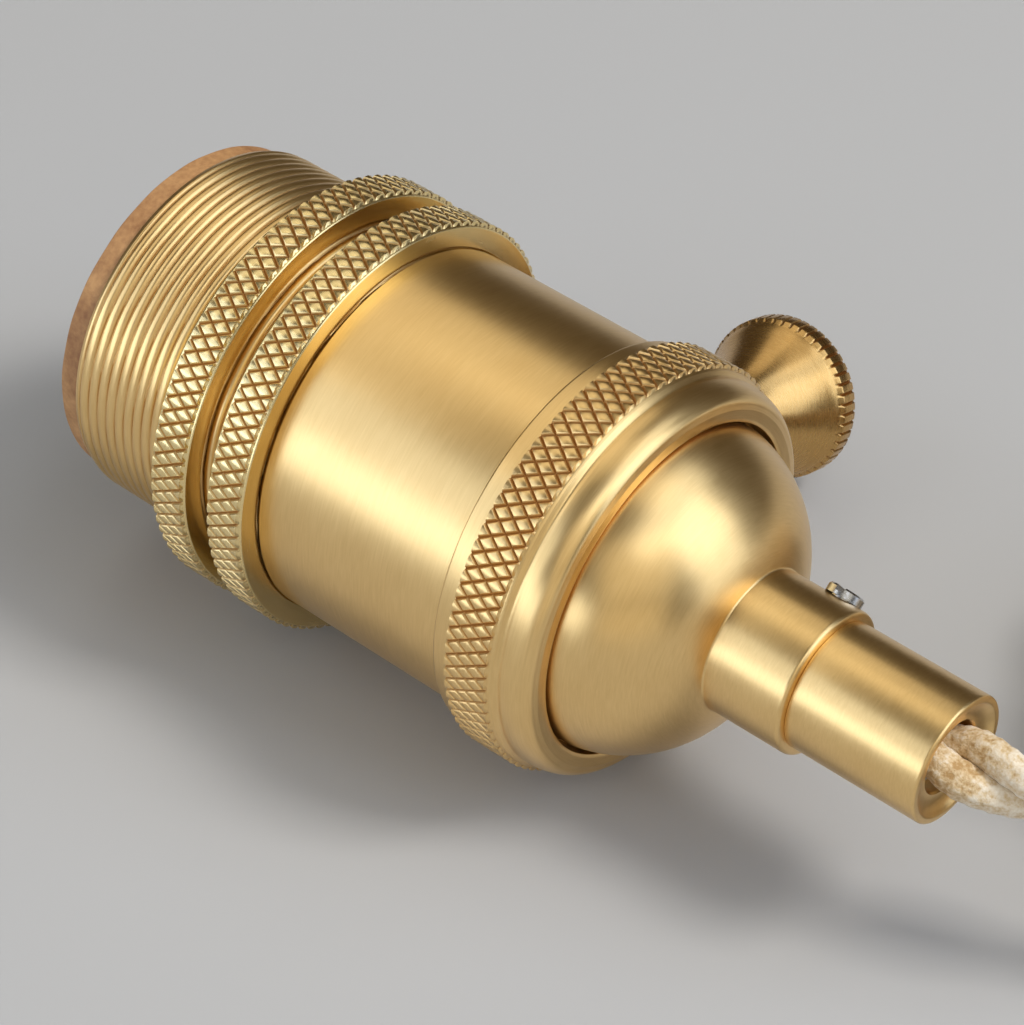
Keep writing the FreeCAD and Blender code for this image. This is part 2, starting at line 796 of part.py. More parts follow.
def cord_coil():
    half_width = coil_turns_wide * cord_radius
    height = coil_layers * 2 * cord_radius
    outer = Part.makeCylinder(coil_radius + half_width, height, coil_centre())
    coil = outer.cut(Part.makeCylinder(coil_radius - half_width, height, coil_centre()))
    return coil.makeFillet(0.8 * cord_radius, [edge for edge in coil.Edges if edge.BoundBox.ZLength < 1e-6])


def tip_frame():
    """Where the cord ends on the coil's upper layer, and which way it points."""
    inward = left_of_cord()
    angle = math.atan2(-inward.y, -inward.x) + 2 * math.pi * coil_turns
    radius = coil_radius - cord_radius
    place = coil_centre() + V(radius * math.cos(angle), radius * math.sin(angle), 0)
    place.z = floor_z + cord_radius * (2 * coil_layers - 1)
    climb = math.radians(tip_climb)
    heading = V(-math.sin(angle) * math.cos(climb), math.cos(angle) * math.cos(climb), math.sin(climb))
    return place, heading


def tips(radius, start, length):
    place, heading = tip_frame()
    sideways = V(-heading.y, heading.x, 0).normalize() * (tip_radius + 0.1)
    pieces = []
    for side in (-1, 1):
        base = place + heading * start + sideways * side
        pieces.append(Part.makeCylinder(radius, length, base, heading))
    return Part.makeCompound(pieces)


def core_tips():
    return tips(tip_radius, 0, tip_length)


def bare_tips():
    return tips(tip_bare_radius, tip_length, tip_bare_length)


def core(side):
    """One insulated core from its terminal to the cord's inner end."""
    y = side * terminal_spacing / 2
    start = porcelain_rear + terminal_length - terminal_hole_depth + 0.5
    end_y = side * (core_radius + 0.15)
    points = [
        V(start, y, 0),
        V(start + core_terminal_run, y, 0),
        V(start + core_terminal_run + core_bend_run, side * core_bend_offset, -core_dip * 0.5),
        V(cord_inner_end - core_end_run, end_y, 0),
        V(cord_inner_end, end_y, 0),
    ]
    return sweep_round(points, core_radius)


NODES = {
    "body_shell": body_shell,
    "fibre_liner": fibre_liner,
    "shade_ring_front": lambda: shade_ring(front_ring_x),
    "shade_ring_rear": lambda: shade_ring(rear_ring_x),
    "cap_ring": cap_ring,
    "dome_cap": dome_cap,
    "neck_set_screw": neck_set_screw,
    "cord_grip": cord_grip,
    "grip_collet": grip_collet,
    "insulator_body": insulator_body,
    "screw_shell": screw_shell,
    "shell_screws": shell_screws,
    "centre_contact": centre_contact,
    "tongue_screw": tongue_screw,
    "switch_knob": switch_knob,
    "knob_grub_screw": knob_grub_screw,
    "switch_spindle": switch_spindle,
    "switch_rotor": switch_rotor,
    "contact_leaf_line": lambda: contact_leaf(1),
    "contact_leaf_lamp": lambda: contact_leaf(-1),
    "spindle_bush": spindle_bush,
    "bush_nut": bush_nut,
    "terminal_live": lambda: terminal(1),
    "terminal_neutral": lambda: terminal(-1),
    "terminal_screws": terminal_screws,
    "core_live": lambda: core(1),
    "core_neutral": lambda: core(-1),
    "cord": cord,
    "cord_coil": cord_coil,
    "core_tips": core_tips,
    "bare_tips": bare_tips,
}

os.makedirs("parts", exist_ok=True)
for name, make in NODES.items():
    shape = make()
    print(name, "solids", len(shape.Solids), "valid", shape.isValid(), "volume", round(shape.Volume, 1))
    shape.exportStep("parts/" + name + ".step")
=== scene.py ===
import json
import math
import random

import bmesh
import bpy
from mathutils import Matrix, Vector


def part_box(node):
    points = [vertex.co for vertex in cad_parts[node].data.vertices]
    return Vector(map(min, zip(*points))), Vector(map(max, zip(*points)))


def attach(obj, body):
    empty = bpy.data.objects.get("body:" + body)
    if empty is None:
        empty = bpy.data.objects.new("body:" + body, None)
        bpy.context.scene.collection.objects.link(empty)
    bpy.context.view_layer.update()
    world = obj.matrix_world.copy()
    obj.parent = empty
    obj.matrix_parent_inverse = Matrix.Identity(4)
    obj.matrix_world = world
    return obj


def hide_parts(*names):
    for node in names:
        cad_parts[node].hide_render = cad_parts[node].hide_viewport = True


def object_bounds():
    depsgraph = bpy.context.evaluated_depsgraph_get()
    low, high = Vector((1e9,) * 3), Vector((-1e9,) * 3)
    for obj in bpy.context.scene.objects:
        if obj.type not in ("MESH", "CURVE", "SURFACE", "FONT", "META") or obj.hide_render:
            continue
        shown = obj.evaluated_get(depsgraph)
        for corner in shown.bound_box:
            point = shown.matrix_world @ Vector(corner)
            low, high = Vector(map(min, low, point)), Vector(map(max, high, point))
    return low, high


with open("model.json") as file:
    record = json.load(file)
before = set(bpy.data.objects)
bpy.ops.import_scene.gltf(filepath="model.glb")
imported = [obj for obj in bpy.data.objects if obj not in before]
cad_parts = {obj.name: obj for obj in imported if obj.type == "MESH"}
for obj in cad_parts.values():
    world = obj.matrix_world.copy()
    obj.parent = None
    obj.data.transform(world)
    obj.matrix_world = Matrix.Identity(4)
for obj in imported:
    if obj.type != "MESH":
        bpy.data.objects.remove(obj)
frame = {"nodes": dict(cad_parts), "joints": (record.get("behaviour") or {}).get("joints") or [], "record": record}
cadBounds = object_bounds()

print("frame loaded:", len(frame["nodes"]), "nodes")

mm = 0.001
weldDistance = 0.0000005
lampAxis = Vector((1, 0, 0))
knobJoint = next(joint for joint in frame["joints"] if joint["name"] == "knob_turn")
switchAxis = Vector(knobJoint["axis"]).normalized()
switchPlace = Vector(knobJoint["pos_m"])
floorHeight = cadBounds[0].z


class Wire:
    # one socket in a material; arithmetic on it adds the Math node that it needs
    def __init__(self, tree, socket=None):
        self.tree = tree
        self.socket = socket

    def add(self, kind, settings=None, sockets=None, output=0):
        node = self.tree.nodes.new(kind)
        for name, value in (settings or {}).items():
            if name == "stops":
                ramp = node.color_ramp
                while len(ramp.elements) < len(value):
                    ramp.elements.new(0.5)
                for stop, (place, colour) in zip(ramp.elements, value):
                    stop.position = place
                    stop.color = (*colour, 1)
            else:
                setattr(node, name, value)
        for name, value in (sockets or {}).items():
            if isinstance(value, Wire):
                self.tree.links.new(value.socket, node.inputs[name])
            else:
                node.inputs[name].default_value = value
        return Wire(self.tree, node.outputs[output] if len(node.outputs) else None)

    def math(self, operation, first, second):
        return self.add("ShaderNodeMath", {"operation": operation}, {0: first, 1: second})

    def __add__(self, other):
        return self.math("ADD", self, other)

    def __radd__(self, other):
        return self.math("ADD", other, self)

    def __sub__(self, other):
        return self.math("SUBTRACT", self, other)

    def __rsub__(self, other):
        return self.math("SUBTRACT", other, self)

    def __mul__(self, other):
        return self.math("MULTIPLY", self, other)

    def __rmul__(self, other):
        return self.math("MULTIPLY", other, self)


def blendColours(share, first, second):
    settings = {"data_type": "RGBA"}
    return share.add("ShaderNodeMix", settings, {"Factor": share, 6: first, 7: second}, 2)


def newMaterial(name):
    material = bpy.data.materials.new(name)
    material.use_nodes = True
    tree = material.node_tree
    tree.nodes.clear()
    return material, Wire(tree)


def finishMaterial(start, constants, links, bump=None):
    # constants sit on the shader's own sockets; links feed only what varies over the surface
    sockets = {**constants, **links}
    if bump is not None:
        height, depth = bump
        sockets["Normal"] = start.add("ShaderNodeBump", {}, {"Height": height, "Distance": depth, "Strength": 1.0})
    shader = start.add("ShaderNodeBsdfPrincipled", {}, sockets)
    start.add("ShaderNodeOutputMaterial", {}, {"Surface": shader})


def placeCoordinates(start, onSwitch=False):
    # coordinates in metres, with x along the lamp axis or along the switch axis
    place = start.add("ShaderNodeTexCoord", {}, {}, 3)
    if onSwitch:
        turn = lampAxis.rotation_difference(switchAxis).inverted().to_euler()
        moved = place.add("ShaderNodeVectorMath", {"operation": "SUBTRACT"}, {0: place, 1: switchPlace})
        place = moved.add("ShaderNodeVectorRotate", {"rotation_type": "EULER_XYZ"}, {0: moved, "Rotation": turn})
    return place


def roundCoordinates(place, alongScale, aroundScale, radiusShare):
    # the way along the outline and the direction round the axis, scaled apart,
    # so that a noise is drawn out round the axis
    x, y, z = (place.add("ShaderNodeSeparateXYZ", {}, {0: place}, i) for i in range(3))
    flat = place.add("ShaderNodeCombineXYZ", {}, {"Y": y, "Z": z})
    unit = place.add("ShaderNodeVectorMath", {"operation": "NORMALIZE"}, {0: flat})
    around = place.add("ShaderNodeVectorMath", {"operation": "SCALE"}, {0: unit, "Scale": aroundScale})
    radius = place.add("ShaderNodeVectorMath", {"operation": "LENGTH"}, {0: flat}, 1)
    along = place.add("ShaderNodeCombineXYZ", {}, {"X": (x + radius * radiusShare) * alongScale})
    return place.add("ShaderNodeVectorMath", {"operation": "ADD"}, {0: around, 1: along})


def noise(vector, scale, detail=2.0, roughness=0.5):
    sockets = {"Vector": vector, "Scale": scale, "Detail": detail, "Roughness": roughness}
    return vector.add("ShaderNodeTexNoise", {}, sockets)


def brushedBrass(name, look, onSwitch=False):
    # satin brass with short brush strokes round its axis, darker at the bottom of its grooves as painted shade
    material, start = newMaterial(name)
    place = placeCoordinates(start, onSwitch)
    across, lengthwise = look["strokesAcross"], look["strokesRound"]
    # the knob's flare widens away from the lamp axis, and the dome narrows along it
    radiusShare = look["slopeShare"] if onSwitch else -look["slopeShare"]
    strokes = noise(roundCoordinates(place, across, lengthwise, radiusShare), 1.0)
    hairlines = noise(roundCoordinates(place, 2.3 * across, 1.7 * lengthwise, radiusShare), 1.0)
    patches = noise(place, look["patches"])
    tone = strokes * 0.4 + hairlines * 0.3 + patches * 0.3
    colour = tone.add("ShaderNodeValToRGB", {"stops": [(0.3, look["dark"]), (0.7, look["light"])]}, {"Fac": tone})
    groove = start.add("ShaderNodeAttribute", {"attribute_name": "groove"}, {}, 2)
    # painted shade: the groove share blends the colour towards a dark brown at the bottom of the grooves
    colour = blendColours(groove, colour, (*look["grooveShadeColour"], 1))
    rough = look["roughness"] + (patches - 0.5) * look["roughnessPatches"]
    rough = rough + (strokes - 0.5) * look["roughnessStrokes"] + groove * look["roughnessGroove"]
    height = strokes * 0.55 + hairlines * 0.45
    finishMaterial(
        start,
        {"Metallic": 1.0, "Coat Roughness": 0.25, "Coat IOR": 1.6},
        {"Base Color": colour, "Roughness": rough, "Coat Weight": look["coat"] * (1 - groove)},
        (height, look["brushDepth"]),
    )
    return material


brassLook = {
    "dark": (0.775, 0.51, 0.20),
    "light": (0.90, 0.625, 0.27),
    # colour of the painted shade at the bottom of the grooves
    "grooveShadeColour": (0.50, 0.27, 0.09),
    "roughness": 0.31,
    "roughnessPatches": 0.04,
    "roughnessStrokes": 0.06,
    "roughnessGroove": 0.25,
    "coat": 0.12,  # thin lacquer, worn out of the grooves
    "strokesAcross": 4600.0,
    "strokesRound": 6.0,
    "slopeShare": 0.8,
    "patches": 160.0,
    "brushDepth": 0.000006,
}
ringLook = dict(brassLook, dark=(0.84, 0.63, 0.27), light=(0.94, 0.75, 0.38), roughness=0.26)
knobLook = dict(brassLook, dark=(0.50, 0.29, 0.09), light=(0.66, 0.41, 0.15), roughness=0.27)
brassShell = brushedBrass("satinBrassShell", brassLook)
brassRings = brushedBrass("satinBrassRings", ringLook)
brassKnob = brushedBrass("satinBrassKnob", knobLook, onSwitch=True)
print("materials made")


def roundedOutline(corners, steps=4):
    # (x, r, rounding) corners in mm; each rounding becomes an arc of short straight steps
    points = []
    count = len(corners)
    for i, corner in enumerate(corners):
        here = Vector(corner[:2])
        rounding = corner[2] if len(corner) > 2 else 0
        if rounding <= 0:
            points.append(here)
            continue
        before = Vector(corners[(i - 1) % count][:2]) - here
        after = Vector(corners[(i + 1) % count][:2]) - here
        half = before.angle(after) / 2
        reach = min(rounding / math.tan(half), 0.48 * before.length, 0.48 * after.length)
        enter = here + before.normalized() * reach
        leave = here + after.normalized() * reach
        for step in range(steps + 1):
            share = step / steps
            points.append(enter.lerp(here, share).lerp(here.lerp(leave, share), share))
    return points


def pieceFromMesh(name, vertices, faces, material, transform=None, sharpAngle=40, groove=None):
    # vertices in mm; groove gives each point's share of the painted groove shade (a darker colour) from its x and
    # radius
    mesh = bpy.data.meshes.new(name)
    mesh.from_pydata([v * mm for v in vertices], [], faces)
    mesh.validate()
    sculpt = bmesh.new()
    sculpt.from_mesh(mesh)
    bmesh.ops.remove_doubles(sculpt, verts=sculpt.verts, dist=weldDistance)
    bmesh.ops.recalc_face_normals(sculpt, faces=sculpt.faces)
    for edge in sculpt.edges:
        edge.smooth = not (edge.is_manifold and edge.calc_face_angle(0) > math.radians(sharpAngle))
    for face in sculpt.faces:
        face.smooth = True
    sculpt.to_mesh(mesh)
    sculpt.free()
    if groove:
        depths = mesh.attributes.new("groove", "FLOAT", "POINT")
        for i, vertex in enumerate(mesh.vertices):
            depths.data[i].value = groove(vertex.co.x / mm, math.hypot(vertex.co.y, vertex.co.z) / mm)
    if transform:
        mesh.transform(transform)
    piece = bpy.data.objects.new(name, mesh)
    bpy.context.scene.collection.objects.link(piece)
    mesh.materials.append(material)
    return piece


def turnedGrid(outline, segments, closed=True, shape=None):
    # vertices and faces of an outline turned about x; shape may move each point by its row and angle
    vertices = []
    faces = []
    rows = len(outline)
    for i, point in enumerate(outline):
        for j in range(segments):
            angle = 2 * math.pi * j / segments
            x, radius = point
            if shape:
                x, radius = shape(i, x, radius, angle)
            vertices.append(Vector((x, radius * math.cos(angle), radius * math.sin(angle))))
    for i in range(rows if closed else rows - 1):
        for j in range(segments):
            a = i * segments + j
            b = i * segments + (j + 1) % segments
            c = ((i + 1) % rows) * segments + (j + 1) % segments
            d = ((i + 1) % rows) * segments + j
            faces.append((a, b, c, d))
    return vertices, faces


def fit(piece, body, slotName, *nodes):
    # the piece stands for the nodes' solids and moves with the body
    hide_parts(*nodes)
    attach(piece, body)
    return piece


def span(node):
    # start and end along the lamp axis, and the radius, in mm
    low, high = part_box(node)
    return low.x / mm, high.x / mm, high.y / mm


shellStart, shellEnd, bodyRadius = span("body_shell")
capStart, capEnd, capRadius = span("cap_ring")
rearStart, rearEnd, ringRadius = span("shade_ring_rear")
domeStart, neckEnd, flangeRadius = span("dome_cap")
gripStart, gripEnd, gripRadius = span("cord_grip")
linerStart, linerEnd, linerRadius = span("fibre_liner")


threadLook = {
    "crestRadius": 19.75,
    "depth": 0.36,
    "crestPower": 2.7,  # higher makes the crests broader and the grooves narrower
    "pitch": 1.25,
    "rowsPerTurn": 16,
    "segments": 240,
    "bore": 18.9,
    "rearStep": 0.15,  # the bore and the cap thread are this much smaller at the rear
    "runIn": 0.8,  # length over which the thread starts at the mouth
    "shoulderRound": 0.4,
    "gap": 0.3,  # how far the thread runs on past the rear ring
    "rimRound": 0.2,
    "endRound": 0.3,
    # painted shade in the thread's valleys: where it starts and how fast it deepens
    "grooveShadeStart": 1.2,
    "grooveShadeGain": 2.2,
}


def makeShell():
    # skirt with its fine outside thread, shoulder, plain cylinder and the thread under the cap ring
    look = threadLook
    rows = int(rearEnd / look["pitch"] * look["rowsPerTurn"])
    length = rearEnd + look["gap"]
    skirt = [Vector((length * i / rows, look["crestRadius"])) for i in range(rows + 1)]
    capThread = look["crestRadius"] - look["rearStep"]
    rearBore = look["bore"] - look["rearStep"]
    rest = roundedOutline([
        (length, bodyRadius, look["shoulderRound"]),
        (capStart, bodyRadius, 0.15),
        (capStart, capThread),
        (shellEnd, capThread, look["endRound"]),
        (shellEnd, rearBore),
        (capStart, rearBore),
        (capStart, look["bore"]),
        (0.0, look["bore"], look["rimRound"]),
    ])

    def threaded(i, x, radius, angle):
        if i > rows:
            return x, radius
        turn = (x / look["pitch"] + angle / (2 * math.pi)) % 1.0
        height = 1 - abs(2 * turn - 1) ** look["crestPower"]
        fade = min(1.0, max(0.0, x / look["runIn"]))
        return x, radius - look["depth"] * (1 - height * fade)

    # share of painted shade in the thread's valleys, deepest at the roots
    def valley(x, radius):
        if not look["endRound"] < x < rearStart or radius < look["bore"] + 0.3:
            return 0.0
        share = (look["crestRadius"] - radius) / look["depth"]
        return min(1.0, max(0.0, share * look["grooveShadeGain"] - look["grooveShadeStart"]))

    vertices, faces = turnedGrid(skirt + rest, look["segments"], True, threaded)
    piece = pieceFromMesh("threadedShell", vertices, faces, brassShell, sharpAngle=75, groove=valley)
    return fit(piece, "holder", "shell_brass", "body_shell")


knurlLook = {
    "depth": 0.29,
    "land": 0.74,  # share of a diamond that its top takes
    "crown": 0.09,  # rise of the top's middle
    "edgeStep": 0.08,  # plain edge below the grooves
    "edgeSlope": 0.13,
    "wallShare": 0.55,
    "wallRise": 0.42,
    "shoulderRise": 0.88,
    "topInset": 0.10,
    # how fast the painted shade deepens down the knurl's grooves
    "grooveShadeGain": 1.2,
}


def knurlCells(x0, width, crest, starts, rows):
    # diamonds between crossed grooves: a wall ring, a rounded shoulder and a nearly flat top for each
    look = knurlLook
    root = crest - look["depth"] - look["crown"]
    step = math.pi / starts
    pitch = width / rows
    wall = 1 - look["land"]
    rings = [(0.0, 0.0), (look["wallShare"] * wall, look["wallRise"]),
             (wall, look["shoulderRise"]), (wall + look["topInset"], 1.0)]
    vertices = []
    faces = []
    ends = {0: [], rows: []}

    def point(row, column, radius):
        angle = column * step
        return Vector((x0 + row * pitch, radius * math.cos(angle), radius * math.sin(angle)))

    for row in range(rows + 1):
        for column in range(2 * starts):
            if (row + column) % 2 == 0:
                continue
            around = [(row, column - 1), (row + 1, column), (row, column + 1), (row - 1, column)]
            levels = []
            for inset, rise in rings:
                level = []
                for r, c in around:
                    if 0 <= r <= rows:
                        place = (row + (r - row) * (1 - inset), column + (c - column) * (1 - inset))
                        level.append(point(*place, root + look["depth"] * rise))
                    else:
                        level.append(None)
                levels.append(level)
            top = point(row, column, crest)
            for low, high in zip(levels, levels[1:]):
                for i in range(4):
                    quad = [low[i], low[i - 3], high[i - 3], high[i]]
                    if None not in quad:
                        faces.append(tuple(range(len(vertices), len(vertices) + 4)))
                        vertices.extend(quad)
            last = levels[-1]
            for i in range(4):
                wedge = [last[i], last[i - 3], top]
                if None not in wedge:
                    faces.append(tuple(range(len(vertices), len(vertices) + 3)))
                    vertices.extend(wedge)
            if row in ends:
                ends[row].append([level[0] for level in levels] + [top] + [level[2] for level in reversed(levels)])
    return vertices, faces, ends


def makeKnurledRing(name, x0, width, crest, starts, rows, corners, material):
    # corners run from the band's rear edge round the ring's section to the band's front edge
    vertices, faces, ends = knurlCells(x0, width, crest, starts, rows)
    outline = roundedOutline(corners)
    rim = {0: outline[-1], rows: outline[0]}
    for row, cells in ends.items():
        inner = rim[row]
        for cell in cells:
            for a, b in zip(cell, cell[1:]):
                feet = []
                for end in (b, a):
                    angle = math.atan2(end.z, end.y)
                    feet.append(Vector((inner.x, inner.y * math.cos(angle), inner.y * math.sin(angle))))
                faces.append(tuple(range(len(vertices), len(vertices) + 4)))
                vertices.extend([a, b, feet[0], feet[1]])
    turned, quads = turnedGrid(outline, 4 * starts, False)
    offset = len(vertices)
    vertices.extend(turned)
    faces.extend(tuple(v + offset for v in quad) for quad in quads)

    # share of painted shade down the knurl's grooves
    def cut(x, radius):
        top = crest - knurlLook["crown"]
        if not x0 - 0.02 < x < x0 + width + 0.02 or radius < top - knurlLook["depth"] - 0.05:
            return 0.0
        return min(1.0, max(0.0, (top - radius) / knurlLook["depth"] * knurlLook["grooveShadeGain"]))

    return pieceFromMesh(name, vertices, faces, material, sharpAngle=35, groove=cut)


shadeRingLook = {
    "knurlWidth": 3.85,
    "starts": 90,
    "rows": 3,
    "lipRadius": 22.0,
    "lipWidth": 1.0,
    "bore": 19.81,
    "boreChamfer": 0.65,
    "frontChamfer": 0.4,
    "rearBevel": 0.08,
    "rearFall": 0.14,
}


def makeShadeRing(name, node, body):
    look = shadeRingLook
    start, end, _ = span(node)
    knurlStart = start + look["lipWidth"]
    knurlEnd = knurlStart + look["knurlWidth"]
    root = ringRadius - knurlLook["depth"] - knurlLook["crown"] - knurlLook["edgeStep"]
    corners = [
        (knurlEnd + knurlLook["edgeSlope"], root),
        (end - look["rearBevel"], root - 0.03, 0.04),
        (end, root - look["rearFall"], 0.06),
        (end, look["bore"] + look["boreChamfer"], 0.08),
        (end - look["boreChamfer"], look["bore"], 0.1),
        (start + look["frontChamfer"], look["bore"], 0.1),
        (start, look["bore"] + look["frontChamfer"], 0.1),
        (start, look["lipRadius"], 0.3),
        (knurlStart, look["lipRadius"]),
    ]
    piece = makeKnurledRing(name, knurlStart, look["knurlWidth"], ringRadius, look["starts"], look["rows"],
                            corners, brassRings)
    return fit(piece, body, "ring_brass", node)


capRingLook = {
    "lipRadius": 21.45,
    "lipWidth": 2.26,
    "knurlWidth": 5.0,
    "starts": 86,
    "rows": 4,
    "bore": 19.65,
    "mouthRadius": 18.2,
    "creaseRadius": 20.0,
    "coveRadius": 21.42,
    "beadWidth": 2.95,
    "beadSteps": 12,
    "mouthStep": 0.12,
    "shoulder": 3.2,
}


def makeCapRing():
    look = capRingLook
    knurlStart = capStart + look["lipWidth"]
    knurlEnd = knurlStart + look["knurlWidth"]
    mouth = capEnd - look["mouthStep"]
    root = capRadius - knurlLook["depth"] - knurlLook["crown"] - knurlLook["edgeStep"]
    coveX = mouth - look["beadWidth"]
    beadHeight = look["coveRadius"] - look["creaseRadius"]
    bead = []
    for i in range(1, look["beadSteps"]):
        turn = i / look["beadSteps"] * math.pi / 2
        bead.append((coveX + look["beadWidth"] * math.sin(turn),
                     look["creaseRadius"] + beadHeight * math.cos(turn)))
    corners = [
        (knurlEnd + knurlLook["edgeSlope"], root),
        (knurlEnd + 0.22, root - 0.03, 0.05),
        (knurlEnd + 0.42, root - 0.12, 0.15),
        (knurlEnd + 0.85, look["coveRadius"] - 0.06, 0.6),
        (coveX, look["coveRadius"], 0.9),
        *bead,
        (mouth, look["creaseRadius"], 0.12),
        (capEnd, look["creaseRadius"] - 0.45, 0.3),
        (capEnd, look["mouthRadius"] + 0.35, 0.3),
        (mouth, look["mouthRadius"], 0.1),
        (capEnd - look["shoulder"], look["mouthRadius"]),
        (capEnd - look["shoulder"], look["bore"]),
        (capStart, look["bore"]),
        (capStart, look["lipRadius"], 0.3),
        (knurlStart, look["lipRadius"]),
    ]
    piece = makeKnurledRing("capRing", knurlStart, look["knurlWidth"], capRadius, look["starts"], look["rows"],
                            corners, brassShell)
    return fit(piece, "holder", "shell_brass", "cap_ring")


domeLook = {
    "baseRadius": 17.8,
    "baseLength": 2.7,
    "wall": 1.0,
    "height": 11.1,
    "middle": (6.7, 14.6),  # where the arc passes, from the base
    "flangeClearance": 0.12,
    "neckRadius": 7.75,
    "neckBore": 5.25,
    "neckRootRound": 0.9,
    "neckEndRound": 0.55,
    "segments": 256,
}


def arcThrough(first, middle, last, steps):
    # points of the circle through three (x, r) points, the shorter way round
    a, b, c = Vector(first), Vector(middle), Vector(last)
    d = 2 * (a.x * (b.y - c.y) + b.x * (c.y - a.y) + c.x * (a.y - b.y))
    aa, bb, cc = a.length_squared, b.length_squared, c.length_squared
    centre = Vector(((aa * (b.y - c.y) + bb * (c.y - a.y) + cc * (a.y - b.y)) / d,
                     (aa * (c.x - b.x) + bb * (a.x - c.x) + cc * (b.x - a.x)) / d))
    radius = (a - centre).length
    start = math.atan2(a.y - centre.y, a.x - centre.x)
    end = math.atan2(c.y - centre.y, c.x - centre.x)
    end = start + (end - start + math.pi) % (2 * math.pi) - math.pi
    turns = [start + (end - start) * i / steps for i in range(steps + 1)]
    return [(centre.x + radius * math.cos(t), centre.y + radius * math.sin(t)) for t in turns]


def makeDome():
    look = domeLook
    flangeEnd = capEnd - capRingLook["shoulder"] - look["flangeClearance"]
    domeX = flangeEnd + look["baseLength"]
    neckX = domeX + look["height"]
    middle = (domeX + look["middle"][0], look["middle"][1])
    outside = arcThrough((domeX, look["baseRadius"]), middle, (neckX, look["neckRadius"]), 40)
    inner = look["baseRadius"] - look["wall"]
    innerMiddle = (middle[0] - 0.7 * look["wall"], middle[1] - 0.8 * look["wall"])
    inside = arcThrough((neckX - look["wall"], look["neckRadius"] - 0.4), innerMiddle, (domeX, inner), 16)
    corners = [
        (domeStart, inner),
        (domeStart, flangeRadius, 0.1),
        (flangeEnd, flangeRadius, 0.1),
        (flangeEnd, look["baseRadius"], 0.1),
        *outside[:-1],
        (neckX, look["neckRadius"], look["neckRootRound"]),
        (neckX + 1.5, look["neckRadius"]),
        (neckEnd, look["neckRadius"], look["neckEndRound"]),
        (neckEnd, look["neckBore"]),
        (neckX - look["wall"], look["neckBore"]),
        *inside,
    ]
    vertices, faces = turnedGrid(roundedOutline(corners, 6), look["segments"])
    piece = pieceFromMesh("domeCap", vertices, faces, brassShell, sharpAngle=50)
    return fit(piece, "holder", "dome_brass", "dome_cap")


gripLook = {
    "bore": 3.87,
    "dishRadius": 6.15,
    "dishDepth": 0.75,
    "endRound": 0.35,
    "stub": 5.16,  # radius inside the neck
    "seat": 4.5,
    "endWall": 2.6,
    "segments": 192,
}


def makeGrip():
    look = gripLook
    dishEnd = gripEnd - look["dishDepth"]
    dish = arcThrough((gripEnd - 0.06, look["dishRadius"] - 0.12),
                      (gripEnd - 0.78 * look["dishDepth"], look["dishRadius"] - 0.95),
                      (dishEnd, look["bore"] + 0.15), 12)
    corners = [
        (gripStart, look["seat"]),
        (gripStart, look["stub"], 0.2),
        (neckEnd, look["stub"]),
        (neckEnd, gripRadius, 0.12),
        (neckEnd + 5.0, gripRadius),
        (gripEnd, gripRadius, look["endRound"]),
        (gripEnd, look["dishRadius"], 0.2),
        *dish,
        (dishEnd - 0.25, look["bore"], 0.1),
        (gripEnd - look["endWall"], look["bore"]),
        (gripEnd - look["endWall"], look["seat"]),
    ]
    vertices, faces = turnedGrid(roundedOutline(corners, 5), look["segments"])
    piece = pieceFromMesh("cordGrip", vertices, faces, brassShell, sharpAngle=50)
    return fit(piece, "holder", "dome_brass", "cord_grip")


makeShell()
makeShadeRing("shadeRingFront", "shade_ring_front", "ring_front")
makeShadeRing("shadeRingRear", "shade_ring_rear", "ring_rear")
makeCapRing()
makeDome()
makeGrip()
print("brass pieces turned")


knobShape = {
    "rimWidth": 2.5,
    "reach": 47.39,
    "teeth": 50,
    "toothDepth": 0.36,
    "notchShare": 0.36,  # of a tooth's pitch
    "segmentsPerTooth": 12,
    "hubRadius": 3.7,
    "hubLength": 7.5,
    "waistRadius": 3.25,
    "rimRadius": 9.0,
    "faceRise": 1.0,
    "base": 23.13,
    "socket": 2.05,
    "socketDepth": 9.0,
}


